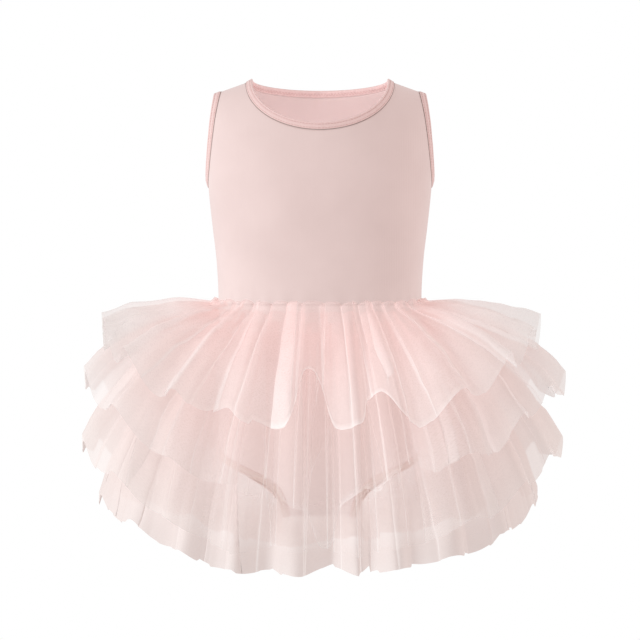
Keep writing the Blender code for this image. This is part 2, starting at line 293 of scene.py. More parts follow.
# Leg bindings: tan, darker than the neck and arm bindings, as painted shade along the leg edges
LEG_SHADED_LOW, LEG_SHADED_HIGH = "D0AFA4", "DABBB1"
BINDING_LOW, BINDING_HIGH = "E4BEB9", "EBC8C3"
# Painted highlight on the net's folded and hem edges
TULLE_EDGE_HIGHLIGHT = "FFF6F3"
FLOOR_WHITE = "EDEDED"

# Sizes of the patterns in the cloth
WALE_SPACING = 0.0022
NET_HOLE = 0.0013

# Room and lamps, whose powers are in watts
AMBIENT = 0.83
FLOOR_Z = -0.86
FLOOR_RADIUS = 1.5
FLOOR_SIDES = 96
AIM = Vector((0.0, 0.0, -0.20))
Lamp = namedtuple("Lamp", "name place size power colour")
LAMPS = (
    Lamp("key_softbox", (-2.4, -1.1, 0.1), 1.5, 32.5, (0.83, 1.0, 1.05)),
    Lamp("rim_softbox", (2.4, 0.3, -0.1), 1.2, 10.0, (1.0, 1.0, 0.97)),
)
INSIDE_POWER = 0.16
INSIDE_PLACE = (0.0, -0.03, -0.075)
INSIDE_COLOUR = (0.8, 1.0, 1.08)
INSIDE_RADIUS = 0.03
NET_LAYERS_SEEN = 64


def linear(hex_colour, alpha=1.0):
    """A colour from its sRGB hex digits, as the shader's linear values."""
    channels = []
    for place in (0, 2, 4):
        value = int(hex_colour[place : place + 2], 16) / 255
        channels.append(value / 12.92 if value <= 0.04045 else ((value + 0.055) / 1.055) ** 2.4)
    return (*channels, alpha)


def add_node(tree, kind, settings=None, **inputs):
    """Adds a node, sets its own settings, and gives its sockets their values or links."""
    node = tree.nodes.new(kind)
    for name, value in (settings or {}).items():
        setattr(node, name, value)
    for name, value in inputs.items():
        socket = node.inputs[int(name[1:])] if name[0] == "n" and name[1:].isdigit() else node.inputs[name]
        if isinstance(value, bpy.types.NodeSocket):
            tree.links.new(value, socket)
        else:
            socket.default_value = value
    return node


# Materials


def new_material(name):
    """A new material, its node tree and its shader."""
    material = bpy.data.materials.new(name)
    material.use_nodes = True
    return material, material.node_tree, material.node_tree.nodes["Principled BSDF"]


def brushed_knit():
    """Brushed nylon and elastane jersey: matt, softly fuzzy, with fine upright wales."""
    material, tree, shader = new_material("Brushed stretch jersey")
    place = add_node(tree, "ShaderNodeTexCoord").outputs["Object"]
    # Dye takes a little unevenly, in patches about 55 mm across
    mottle = add_node(tree, "ShaderNodeTexNoise", Vector=place, Scale=18.0, Detail=3.0, Roughness=0.5)
    colour = add_node(tree, "ShaderNodeValToRGB", Fac=mottle.outputs["Fac"])
    colour.color_ramp.elements[0].position = 0.3
    colour.color_ramp.elements[0].color = linear(KNIT_LOW)
    colour.color_ramp.elements[1].position = 0.7
    colour.color_ramp.elements[1].color = linear(KNIT_HIGH)
    tree.links.new(colour.outputs["Color"], shader.inputs["Base Color"])
    # Wales are 0.5 mm apart on the real jersey, and 2.2 mm here so that they show.
    # A wave texture has 20 radians to a unit of its scale.
    wales = add_node(
        tree,
        "ShaderNodeTexWave",
        {"wave_type": "BANDS", "bands_direction": "X"},
        Vector=place,
        Scale=math.tau / (20 * WALE_SPACING),
        Distortion=0.6,
        Detail=1.0,
    )
    # Brushed fibres are under 0.1 mm wide, and their tufts are 0.7 mm here so that they show
    fuzz = add_node(tree, "ShaderNodeTexNoise", Vector=place, Scale=1400.0, Detail=2.0, Roughness=0.6)
    relief = add_node(
        tree,
        "ShaderNodeMath",
        {"operation": "ADD"},
        n0=wales.outputs["Fac"],
        n1=fuzz.outputs["Fac"],
    )
    bump = add_node(tree, "ShaderNodeBump", Height=relief.outputs[0], Strength=0.12, Distance=0.0002)
    tree.links.new(bump.outputs["Normal"], shader.inputs["Normal"])
    shader.inputs["Roughness"].default_value = 0.82
    shader.inputs["Sheen Weight"].default_value = 0.25
    shader.inputs["Sheen Roughness"].default_value = 0.5
    shader.inputs["Specular IOR Level"].default_value = 0.3
    return material


def folded_binding(name, low, high):
    """A folded strip of the same jersey: matt, with faint patches along the strip in place of wales, darker
    in their hollows as painted shade.
    """
    material, tree, shader = new_material(name)
    along = add_node(tree, "ShaderNodeUVMap", {"uv_map": "Along"}).outputs["UV"]
    # The stitches draw the strip in and let it out again every 3 mm or so. The colour is darker where the
    # strip dips, as painted shade, and the same pattern makes the bump
    mottle = add_node(tree, "ShaderNodeTexNoise", Vector=along, Scale=300.0, Detail=2.0, Roughness=0.5)
    colour = add_node(tree, "ShaderNodeValToRGB", Fac=mottle.outputs["Fac"])
    colour.color_ramp.elements[0].position = 0.3
    colour.color_ramp.elements[0].color = linear(low)
    colour.color_ramp.elements[1].position = 0.75
    colour.color_ramp.elements[1].color = linear(high)
    tree.links.new(colour.outputs["Color"], shader.inputs["Base Color"])
    bump = add_node(tree, "ShaderNodeBump", Height=mottle.outputs["Fac"], Strength=0.2, Distance=0.0003)
    tree.links.new(bump.outputs["Normal"], shader.inputs["Normal"])
    shader.inputs["Roughness"].default_value = 0.8
    shader.inputs["Sheen Weight"].default_value = 0.2
    return material


def thread_or_seam_shade(name, low, high):
    """Spun polyester thread: fine fibres that catch a little light along the twist. In dark colours the same
    material paints the shade in a seam's ditch.
    """
    material, tree, shader = new_material(name)
    place = add_node(tree, "ShaderNodeTexCoord").outputs["Object"]
    # A twist of 0.4 mm, as on the real thread
    twist = add_node(tree, "ShaderNodeTexNoise", Vector=place, Scale=2500.0, Detail=1.0)
    colour = add_node(tree, "ShaderNodeValToRGB", Fac=twist.outputs["Fac"])
    colour.color_ramp.elements[0].color = linear(low)
    colour.color_ramp.elements[1].color = linear(high)
    tree.links.new(colour.outputs["Color"], shader.inputs["Base Color"])
    shader.inputs["Roughness"].default_value = 0.6
    return material


def tulle_net(number, net):
    """Nylon tulle: a fine even net that lets most light through, denser where it is gathered or folded, with
    a painted highlight on its folded and hem edges.
    """
    material, tree, shader = new_material(f"Nylon tulle {number}")
    uv = add_node(tree, "ShaderNodeUVMap", {"uv_map": "Cut"}).outputs["UV"]
    reach = add_node(tree, "ShaderNodeAttribute", {"attribute_name": "from_waist"}).outputs["Fac"]
    # The lower frills' darker, pinker colours are painted shade from the frills over them
    colour = add_node(tree, "ShaderNodeValToRGB", Fac=reach)
    colour.color_ramp.elements[0].color = linear(net.waist_colour)
    colour.color_ramp.elements[0].position = 0.15
    colour.color_ramp.elements[1].color = linear(net.hem_colour)
    colour.color_ramp.elements.new(0.5).color = linear(net.middle_colour)
    # Threads lie closer together in a folded or a cut edge, which catches more light than the flat net. The
    # colour is mixed towards near-white there, as a painted highlight.
    edge = add_node(tree, "ShaderNodeAttribute", {"attribute_name": "edge"}).outputs["Fac"]
    highlight_share = add_node(
        tree,
        "ShaderNodeMath",
        {"operation": "MULTIPLY", "use_clamp": True},
        n0=edge,
        n1=0.65,
    )
    edge_highlighted = add_node(
        tree,
        "ShaderNodeMix",
        {"data_type": "RGBA"},
        n0=highlight_share.outputs[0],
        n6=colour.outputs["Color"],
        n7=linear(TULLE_EDGE_HIGHLIGHT),
    )
    tree.links.new(edge_highlighted.outputs[2], shader.inputs["Base Color"])
    # Net holes are 0.9 mm across on real tulle, and 1.3 mm here so that they show as a faint grain
    holes = add_node(
        tree,
        "ShaderNodeTexVoronoi",
        {"feature": "DISTANCE_TO_EDGE"},
        Vector=uv,
        Scale=1 / NET_HOLE,
    )
    grain = add_node(
        tree,
        "ShaderNodeMapRange",
        Value=holes.outputs["Distance"],
        n1=0.02,
        n2=0.30,
        n3=0.02,
        n4=-0.02,
    )
    # The net is drawn tighter along some of its threads, in streaks 7 mm wide that run down the frill
    lengthwise = add_node(tree, "ShaderNodeMapping", Vector=uv, Scale=(150.0, 7.0, 1.0))
    streaks = add_node(
        tree,
        "ShaderNodeTexNoise",
        Vector=lengthwise.outputs["Vector"],
        Scale=1.0,
        Detail=1.0,
    )
    drawn = add_node(
        tree,
        "ShaderNodeMapRange",
        Value=streaks.outputs["Fac"],
        n1=0.3,
        n2=0.7,
        n3=-0.02,
        n4=0.02,
    )
    total = add_node(tree, "ShaderNodeAttribute", {"attribute_name": "closeness"}).outputs["Fac"]
    for layer in (grain, drawn):
        total = add_node(
            tree,
            "ShaderNodeMath",
            {"operation": "ADD", "use_clamp": True},
            n0=total,
            n1=layer.outputs[0],
        ).outputs[0]
    tree.links.new(total, shader.inputs["Alpha"])
    shader.inputs["Roughness"].default_value = 0.75
    shader.inputs["Specular IOR Level"].default_value = 0.25
    return material


# The leotard's form, as in the solids


def table_value(rows, at, column):
    """The column's value at a value of the first column, on a smooth curve through the rows."""
    keys = [row[0] for row in rows]
    values = [getattr(row, column) for row in rows]
    last = len(rows) - 1
    at = min(max(at, keys[0]), keys[last])
    k = min(sum(key <= at for key in keys[1:]), last - 1)
    step = keys[k + 1] - keys[k]
    slopes = []
    for end in (k, k + 1):
        low, high = max(end - 1, 0), min(end + 1, last)
        slopes.append((values[high] - values[low]) / (keys[high] - keys[low]) * step)
    t = (at - keys[k]) / step
    rise = t * t * (3 - 2 * t)
    ends = values[k] * (1 - rise) + values[k + 1] * rise
    return ends + slopes[0] * t * (1 - t) ** 2 - slopes[1] * t * t * (1 - t)


def closing(share):
    """How far a section has closed in: 1 where that starts, 0 over the shoulder or under the crotch."""
    return math.sqrt(max(1 - share * share, 0.0))


def half_width(height):
    return table_value(SECTIONS, height, "half_width")


def half_depth(height, side):
    depth = table_value(SECTIONS, height, "front_depth" if side == FRONT else "back_depth")
    if height > UNDERARM_Z:
        depth *= closing((height - UNDERARM_Z) / (NECK_POINT_Z - UNDERARM_Z))
    if height < HIP_Z:
        depth *= closing((HIP_Z - height) / (HIP_Z - CROTCH_Z))
    return depth


def shoulder_drop(x):
    return SHOULDER_SLOPE * (abs(x) - NECK_HALF_WIDTH)


def form_point(angle, height, side):
    """A point of the form: the angle is 0 at the side seam and 90 on the centre line."""
    turn = math.radians(angle)
    power = 2 / OVAL_POWER
    rise = max(height - UNDERARM_Z, 0.0) / (NECK_POINT_Z - UNDERARM_Z)
    x = half_width(height) * max(math.cos(turn), 0.0) ** power
    y = half_depth(height, side) * max(math.sin(turn), 0.0) ** power
    return Vector((x, side * (y + SEAM_GAP), height - shoulder_drop(x) * rise))


def form_normal(angle, height, side):
    """The form's way out at a point, from two short steps that stay on it."""
    lean = 1.0 if angle < 45 else -1.0
    inner = min(max(height, CROTCH_Z + 0.001), NECK_POINT_Z - 0.001)
    here = form_point(angle, inner, side)
    across = form_point(angle + lean, inner, side) - here
    up = form_point(angle, inner + 0.0005, side) - here
    normal = across.cross(up).normalized()
    outward = Vector((here.x, here.y, 0.0))
    if height > UNDERARM_Z:
        outward.z = height - UNDERARM_Z
    if height < HIP_Z:
        outward.z = height - HIP_Z
    return normal if normal.dot(outward) > 0 else -normal


def angle_at(x, height):
    return math.degrees(math.acos(min(abs(x) / half_width(height), 1.0) ** (OVAL_POWER / 2)))


def height_under(x, z):
    """The form height whose point at x lies at z, where the shoulders slope."""
    drop = shoulder_drop(x)
    reach = NECK_POINT_Z - UNDERARM_Z
    return (z * reach - drop * UNDERARM_Z) / (reach - drop)


def between(first, last, steps):
    """Evenly spaced values from first to last, both included."""
    return [first + (last - first) * k / steps for k in range(steps + 1)]


def filled_patch(bottom, top, left, right):
    """The grid of (angle, height) pairs inside four edges that share their corners."""
    columns, rows = len(bottom) - 1, len(left) - 1
    grid = []
    for j in range(rows + 1):
        v = j / rows
        line = []
        for i in range(columns + 1):
            u = i / columns
            pair = []
            for k in (0, 1):
                edges = (1 - v) * bottom[i][k] + v * top[i][k] + (1 - u) * left[j][k] + u * right[j][k]
                low = (1 - u) * bottom[0][k] + u * bottom[columns][k]
                high = (1 - u) * top[0][k] + u * top[columns][k]
                pair.append(edges - (1 - v) * low - v * high)
            line.append(tuple(pair))
        grid.append(line)
    return grid


def neckline(side, steps):
    """A panel's neck edge from the centre line to the shoulder, a quarter of an oval."""
    low = FRONT_NECK_Z if side == FRONT else BACK_NECK_Z
    edge = []
    for turn in between(math.pi / 2, 0.0, steps):
        x = NECK_HALF_WIDTH * math.cos(turn)
        height = height_under(x, NECK_POINT_Z - (NECK_POINT_Z - low) * math.sin(turn))
        edge.append((angle_at(x, height), height))
    return edge


def armhole(steps):
    """A panel's armhole edge from the underarm to the shoulder, with closer points at both ends."""
    edge = []
    for t in between(0.0, 1.0, steps):
        rise = math.sin(t * math.pi / 2) * (1 - (1 - t) ** 3)
        edge.append((table_value(ARMHOLE, rise, "angle"), UNDERARM_Z + rise * (NECK_POINT_Z - UNDERARM_Z)))
    return edge


def leg_edge(side, steps):
    """A panel's leg edge from the side seam to the gusset, smooth through the solid's own points."""
    points = LEG_FRONT if side == FRONT else LEG_BACK
    steps_each = steps // (len(points) - 1)
    curve = [Vector((point.from_middle, 0.0, point.height)) for point in points]
    edge = []
    for k in range(len(curve) - 1):
        before, after = curve[max(k - 1, 0)], curve[min(k + 2, len(curve) - 1)]
        for part in range(steps_each):
            t = part / steps_each
            rise = t * t * (3 - 2 * t)
            point = curve[k] * (1 - rise) + curve[k + 1] * rise
            leaving, arriving = (curve[k + 1] - before) / 2, (after - curve[k]) / 2
            point += leaving * t * (1 - t) ** 2 - arriving * t * t * (1 - t)
            edge.append((angle_at(point.x, point.z), point.z))
    edge.append((angle_at(curve[-1].x, curve[-1].z), curve[-1].z))
    return edge


# Making and finishing meshes


def grid_faces(rows, columns, round_rows, round_columns):
    """Quads over a grid of points, which may join up from its last row or column to its first."""
    faces = []
    for j in range(rows if round_rows else rows - 1):
        for i in range(columns if round_columns else columns - 1):
            here, below = j * columns, (j + 1) % rows * columns
            next_i = (i + 1) % columns
            faces.append((here + i, here + next_i, below + next_i, below + i))
    return faces


def select_nothing():
    for other in bpy.context.selected_objects:
        other.select_set(False)


def select_only(piece):
    select_nothing()
    piece.select_set(True)
    bpy.context.view_layer.objects.active = piece


def new_piece(name, points, faces, material):
    mesh = bpy.data.meshes.new(name)
    mesh.from_pydata([tuple(point) for point in points], [], faces)
    mesh.materials.append(material)
    mesh.shade_smooth()
    piece = bpy.data.objects.new(name, mesh)
    bpy.context.scene.collection.objects.link(piece)
    return piece


def apply_wall(piece, wall, offset):
    """Gives a sheet its thickness."""
    solid = piece.modifiers.new("Wall", "SOLIDIFY")
    solid.thickness = wall
    solid.offset = offset
    select_only(piece)
    bpy.ops.object.modifier_apply(modifier="Wall")


def signed_volume(mesh):
    """Six times the volume that a closed mesh holds, below zero where its faces face inwards."""
    mesh.calc_loop_triangles()
    total = 0.0
    for triangle in mesh.loop_triangles:
        a, b, c = (mesh.vertices[index].co for index in triangle.vertices)
        total += a.dot(b.cross(c))
    return total


def dress_node(piece, slot, *nodes):
    """Puts a finished piece in the place of its solids."""
    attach(piece, "root")
    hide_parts(*nodes)


# The leotard's panels


def bodice_grid(side):
    base = WAIST_Z + SEAM_GAP
    neck = neckline(side, NECK_COLUMNS)
    arm = armhole(ARM_ROWS)
    shoulder = [(angle, NECK_POINT_Z) for angle in between(neck[-1][0], arm[-1][0], STRAP_COLUMNS)]
    bottom = [(angle, base) for angle in between(90.0, 0.0, NECK_COLUMNS + STRAP_COLUMNS)]
    left = [(90.0, height) for height in between(base, neck[0][1], SIDE_ROWS + ARM_ROWS)]
    right = [(0.0, height) for height in between(base, UNDERARM_Z, SIDE_ROWS)]
    return filled_patch(bottom, neck + shoulder[1:], left, right + arm[1:])


def brief_grid(side):
    leg = leg_edge(side, LEG_STEPS)
    right = [(0.0, height) for height in between(WAIST_Z, LEG_TOP_Z, HIP_ROWS)] + leg[1:]
    left = [(90.0, height) for height in between(WAIST_Z, GUSSET_END_Z, len(right) - 1)]
    bottom = [(angle, WAIST_Z) for angle in between(90.0, 0.0, BRIEF_COLUMNS)]
    top = [(angle, GUSSET_END_Z) for angle in between(90.0, leg[-1][0], BRIEF_COLUMNS)]
    return filled_patch(bottom, top, left, right)


def knit_panel(node, grid, side, material):
    """A panel of jersey over the form, drawn in by small puckers along the waist seam."""
    points = []
    for line in grid:
        half = []
        for angle, height in line:
            point = form_point(angle, height, side)
            nearness = math.exp(-(((height - WAIST_Z) / PUCKER_REACH) ** 2))
            if nearness > LEAST_PUCKER:
                ripple = math.cos(math.radians(angle) * PUCKERS) * PUCKER_HEIGHT * nearness
                point += form_normal(angle, height, side) * ripple
            half.append(point)
        half[0].x = 0.0
        points += [Vector((-point.x, point.y, point.z)) for point in half[:0:-1]] + half
    columns = 2 * len(grid[0]) - 1
    faces = grid_faces(len(grid), columns, False, False)
    rising = grid[-1][0][1] > grid[0][0][1]
    if rising == (side == BACK):
        faces = [face[::-1] for face in faces]
    piece = new_piece(node + "_jersey", points, faces, material)
    apply_wall(piece, KNIT_WALL, -1.0)
    dress_node(piece, "knit", node)
    return piece


def gusset_point(x, share):
    """A point of the crotch strip: the share goes from -1 at the front panel to 1 at the back panel."""
    side = FRONT if share < 0 else BACK
    end = form_point(angle_at(x, GUSSET_END_Z), GUSSET_END_Z, side)
    height = CROTCH_Z + (GUSSET_END_Z - CROTCH_Z) * share * share
    return Vector((x, (end.y - 2 * SEAM_GAP * side) * abs(share), height))


def crotch_gusset(material):
    xs = between(-CROTCH_HALF_WIDTH, CROTCH_HALF_WIDTH, GUSSET_COLUMNS)
    points = [gusset_point(x, share) for share in between(-1.0, 1.0, GUSSET_ROWS) for x in xs]
    faces = [face[::-1] for face in grid_faces(GUSSET_ROWS + 1, len(xs), False, False)]
    piece = new_piece("crotch_gusset_jersey", points, faces, material)
    apply_wall(piece, KNIT_WALL, -1.0)
    dress_node(piece, "knit", "crotch_gusset")


# Where the bindings run: loops of stations, each a point on the panel's edge and the way out there


def stations(edge, side):
    return [(form_point(*pair, side), form_normal(*pair, side)) for pair in edge]


def other_side(run):
    return [(Vector((-point.x, point.y, point.z)), Vector((-way.x, way.y, way.z))) for point, way in run]


def meeting(first, second):
    """One station halfway between two that face each other over a seam."""
    return (first[0] + second[0]) / 2, (first[1] + second[1]).normalized()


def neck_loop():
    runs = [stations(neckline(side, NECK_COLUMNS), side) for side in (FRONT, BACK)]
    half = runs[0][:-1] + [meeting(runs[0][-1], runs[1][-1])] + runs[1][-2::-1]
    return half + other_side(half[-2:0:-1])


def arm_loop():
    front, back = (stations(armhole(ARM_ROWS), side) for side in (FRONT, BACK))
    return [meeting(front[0], back[0])] + front[1:-1] + [meeting(front[-1], back[-1])] + back[-2:0:-1]


def leg_loop():
    front, back = (stations(leg_edge(side, LEG_STEPS), side) for side in (FRONT, BACK))
    down = Vector((0.0, 0.0, -1.0))
    shares = between(-1.0, 1.0, GUSSET_ROWS)[1:-1]
    under = [(gusset_point(CROTCH_HALF_WIDTH, share), down) for share in shares]
    return [meeting(front[0], back[0])] + front[1:] + under + back[:0:-1]


# Bindings, stitches and seams


def strip_frames(loop, binding):
    """Where a binding's strip stands at each station, which way it goes and which way it faces."""
    count = len(loop)
    centre = sum((point for point, _ in loop), Vector()) / count
    lowest = min(point.z for point, _ in loop)
    highest = max(point.z for point, _ in loop)
    across = []
    for k, (point, way) in enumerate(loop):
        along = (loop[(k + 1) % count][0] - loop[k - 1][0]).normalized()
        across.append(along.cross(way).normalized())
    agreement = sum((centre - loop[k][0]).dot(across[k]) for k in range(count))
    turned = 1 if agreement > 0 else -1
    frames = []
    for k, (point, way) in enumerate(loop):
        inwards = across[k] * turned
        out = (way - inwards * way.dot(inwards)).normalized()
        share = (point.z - lowest) / (highest - lowest)
        lean = math.radians(binding.low_flare + (binding.high_flare - binding.low_flare) * share)
        strip = inwards * math.cos(lean) + out * math.sin(lean)
        face = out * math.cos(lean) - inwards * math.sin(lean)
        root = point + inwards * (SEAM_GAP + binding.wall / 4 * math.sin(lean)) - out * (KNIT_WALL / 2)
        frames.append(StripFrame(root, strip, face))
    return frames


def binding_piece(node, frames, binding, material):
    """The folded strip, with a needle furrow near each edge and a thickness that is never quite even."""
    count, around = len(frames), len(BINDING_PROFILE)
    points = []
    for k, at in enumerate(frames):
        waver = 1 + 0.03 * math.sin(k * 0.9) + 0.02 * math.sin(k * 2.3 + 1)
        for far, high in BINDING_PROFILE:
            raised = at.face * (binding.wall / 2 * high * waver)
            points.append(at.root + at.strip * (binding.width * far) + raised)
    piece = new_piece(node + "_strip", points, grid_faces(count, around, True, True), material)
    mesh = piece.data
    if signed_volume(mesh) < 0:
        mesh.flip_normals()
    length = sum((frames[k].root - frames[k - 1].root).length for k in range(count))
    uv = mesh.uv_layers.new(name="Along")
    for polygon in mesh.polygons:
        for loop_index, vertex in zip(polygon.loop_indices, polygon.vertices):
            uv.data[loop_index].uv = ((vertex // around) * length / count, (vertex % around) * PROFILE_STEP)
    dress_node(piece, "binding", node)


def stitch_shape():
    """One stitch, made once as a long bead along X: its points and its faces, in the same order each run."""
    select_nothing()
    bpy.ops.mesh.primitive_uv_sphere_add(segments=6, ring_count=4, radius=1.0)
    bead = bpy.context.active_object
    vertices = sorted(bead.data.vertices, key=lambda vertex: tuple(vertex.co))
    order = {vertex.index: place for place, vertex in enumerate(vertices)}
    points = [vertex.co.copy() for vertex in vertices]
    faces = []
    for polygon in bead.data.polygons:
        corners = [order[index] for index in polygon.vertices]
        first = corners.index(min(corners))
        faces.append(tuple(corners[first:] + corners[:first]))
    bpy.data.objects.remove(bead)
    return points, sorted(faces)


def walk(frames, far, high, step):
    """Points evenly spaced along a binding, at one place across its strip, with the ways there."""
    line = [at.root + at.strip * far + at.face * high for at in frames]
    count = len(line)
    spots = []
    left = 0.0
    for k in range(count):
        start, end = line[k], line[(k + 1) % count]
        stretch = (end - start).length
        while left < stretch:
            spots.append((start.lerp(end, left / stretch), (end - start).normalized(), frames[k].face))
            left += step
        left -= stretch
    return spots


def sew(name, spots, length, tilt, bead, material):
    """A row of stitches, each a copy of one bead laid at its spot and turned by its tilt, in radians."""
    bead_points, bead_faces = bead
    radius = STITCH_RADIUS
    points, faces = [], []
    for k, (place, along, face) in enumerate(spots):
        side = face.cross(along).normalized()
        lean = tilt if k % 2 else -tilt
        way = (along * math.cos(lean) + side * math.sin(lean)).normalized()
        across = face.cross(way).normalized()
        first = len(points)
        for spot in bead_points:
            offset = way * (spot.x * length / 2) + across * (spot.y * radius) + face * (spot.z * radius)
            points.append(place + offset)
        faces += [tuple(first + index for index in bead_face) for bead_face in bead_faces]
    piece = new_piece(name, points, faces, material)
    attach(piece, "root")


def seam_line_tube(node, frames, material):
    """A thin tube along the ditch between a panel's edge and its binding: painted shade in the dark ditch
    colours, a thread in the thread's colour.
    """
    points = []
    for at in frames:
        middle = at.root + at.face * DITCH_HEIGHT
        for side in range(DITCH_SIDES):
            turn = math.tau * side / DITCH_SIDES
            points.append(middle + (at.strip * math.cos(turn) + at.face * math.sin(turn)) * DITCH_RADIUS)
    faces = grid_faces(len(frames), DITCH_SIDES, True, True)
    piece = new_piece(f"{node}_seam_tube", points, faces, material)
    if signed_volume(piece.data) < 0:
        piece.data.flip_normals()
    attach(piece, "root")


# The tulle: each function gives arrays over a frill's rows and columns.
# A share goes from 0 at the waist to 1 at the hem, and a swing or a turn goes round in radians.


def row_shares():
    """How far down the cut each row of points lies: closer together at the waist, where the gathers are."""
    return np.linspace(0, 1, FRILL_ROWS + 1) ** ROW_CROWDING


def folded_over(around, share, laps, rng):
    """Folds the cloth over itself in short laps: gives where each column goes and how far it is raised."""
    swing = math.tau * around + 0 * share
    layer = 0 * swing
    for k in range(laps):
        centre = (k + 0.5 + rng.uniform(-LAP_SHIFT, LAP_SHIFT)) / laps
        centre = centre + rng.uniform(-LAP_DRIFT, LAP_DRIFT) * share
        width = rng.uniform(*LAP_WIDTHS)
        strength = rng.uniform(*LAP_STRENGTHS)
        ends = rng.uniform(*LAP_ENDS)
        keeps = 1 / (1 + np.exp((share - ends) * LAP_FADE))
        x = ((around - centre + 0.5) % 1 - 0.5) / width
        swing = swing - math.tau * strength * width * x * np.exp(-x * x) * keeps
        height = rng.choice((-1, 1)) * LAP_HEIGHT * (LAP_TOP_SHARE + (1 - LAP_TOP_SHARE) * share)
        layer = layer + height * np.tanh(1.5 * x) * np.exp(-((x / 2.5) ** 2)) * keeps
    return swing, layer


def crumples(swing, share, cut, rng):
    """Soft random creases, from waves that cross the cloth at all angles."""
    along = swing * CRUMPLE_RADIUS
    down = share * cut
    rise = 0 * swing
    for _ in range(CRUMPLE_WAVES):
        length = rng.uniform(*CRUMPLE_LENGTHS)
        way = rng.uniform(0, math.pi)
        rise = rise + length * np.sin(
            math.tau * (along * math.cos(way) + down * math.sin(way)) / length + rng.uniform(0, math.tau)
        )
    return rise * CRUMPLE_HEIGHT * share**CRUMPLE_GROWTH


def ragged_hem(swing, rng):
    """How far the raw hem runs past its mean: straight snips with small steps between them."""
    places, depths = [], []
    place = 0.0
    depth = 0.0
    while place < math.tau:
        places += [place, place + SNIP_STEP]
        depths += [depth, rng.uniform(-HEM_SNIP, HEM_SNIP)]
        depth = rng.uniform(-HEM_SNIP, HEM_SNIP)
        place += rng.uniform(*SNIP_LENGTHS)
    return np.interp(swing % math.tau, places + [math.tau], depths + [0.0])


def gather_phase(swing, share, rng):
    """Where each point lies in its gather, in radians: unevenly spaced, and drifting on the way down."""
    phase = GATHERS * swing + np.sin(5 * swing + rng.uniform(0, 6))
    phase = phase + 1.5 * np.sin(9 * swing + rng.uniform(0, 6))
    return phase + rng.uniform(-GATHER_DRIFT, GATHER_DRIFT) * share * np.sin(2 * swing)


def cut_length(number, frill, swing, turn, fold, sideways, rng):
    """How long the cloth is from waist to hem: longest in front, and lifted or let down in places."""
    cut = frill.front_cut + (frill.side_cut - frill.front_cut) * sideways
    calm = 1 - HEM_CALM * sideways
    cut = cut + HEM_POINT * calm * fold * np.sin(2 * swing + frill.turn)
    cut = cut + HEM_SWING * np.sin(5 * turn + frill.turn)
    cut = cut - HEM_CORNER * np.cos(4 * turn) + calm * ragged_hem(swing, rng)
    for tier, place, width, height in HEM_LIFTS:
        if tier == number:
            away = np.abs((np.degrees(turn) - place + 180) % 360 - 180) / width
            cut = cut - height * np.exp(-(away**3))
    return cut


def standing_off(number, frill, swing, share, sideways, fold, gather):
    """How far the folds and the gathers stand off the frill's slope."""
    fold_height = FRONT_FOLD_HEIGHT + (frill.side_fold - FRONT_FOLD_HEIGHT) * sideways
    if number > 1:
        fold = fold * np.where(fold < 0, 1 - TROUGH_LOSS * sideways, 1.0)
    lift = fold * fold_height * share**FOLD_GROWTH * (1 - FOLD_VARIETY + FOLD_VARIETY * np.sin(4 * swing))
    opened = (1 - GATHER_AT_SEAM) * (1 - np.exp(-share / GATHER_OPENS))
    lift = lift + GATHER_HEIGHT * np.cos(gather) * (GATHER_AT_SEAM + opened - GATHER_LOSS * share)
    below_seam = np.exp(-(((share - PUFF_PLACE) / PUFF_REACH) ** 2))
    return lift + PUFF_HEIGHT * (0.5 + 0.5 * np.cos(gather)) * below_seam


def sewn_oval(turn, height):
    """The oval on the leotard that a frill is sewn to: its x and y at each turn, and the way out there."""
    power = 2 / OVAL_POWER
    wide = half_width(height) + WAIST_CLEARANCE
    deep = np.where(np.sin(turn) < 0, half_depth(height, FRONT), half_depth(height, BACK)) + WAIST_CLEARANCE
    c, s = np.cos(turn), np.sin(turn)
    x = np.sign(c) * wide * np.abs(c) ** power
    y = np.sign(s) * deep * np.abs(s) ** power
    out_x, out_y = c / wide, s / deep
    size = np.hypot(out_x, out_y)
    return x, y, out_x / size, out_y / size


def bright_edges(net, swing, turn, share, sideways):
    """Where the net is folded double or its hem catches the light, which the material paints as a highlight:
    1 there and 0 on the flat net.
    """
    spread = (np.roll(swing, -1, axis=1) - np.roll(swing, 1, axis=1)) % math.tau
    spread = np.where(spread > math.pi, spread - math.tau, spread) * FRILL_COLUMNS / (2 * math.tau)
    folded_edge = np.exp(-((spread / EDGE_SHARPNESS) ** 2))
    folded_edge = folded_edge * (EDGE_AT_SIDE + (1 - EDGE_AT_SIDE) * (1 - sideways) ** 3)
    from_line = (np.degrees(turn) - HEM_LINE_PLACE + 180) % 360 - 180
    hem_line = net.hem_line * (share > 0.999) * np.exp(-((from_line / net.line_reach) ** 2))
    return np.maximum(folded_edge, hem_line)


def net_closeness(net, share, sideways):
    """How much of the light the flat net stops, from the waist to the hem and from front to side."""
    front = net.middle + (net.hem - net.middle) * np.clip((share - HEM_BAND_START) / HEM_BAND, 0, 1)
    beside = net.middle + (net.side - net.middle) * np.clip(share / SIDE_BAND, 0, 1)
    at_waist = (net.waist - net.middle) * np.clip(1 - share / WAIST_BAND, 0, 1)
    return front + (beside - front) * sideways + at_waist


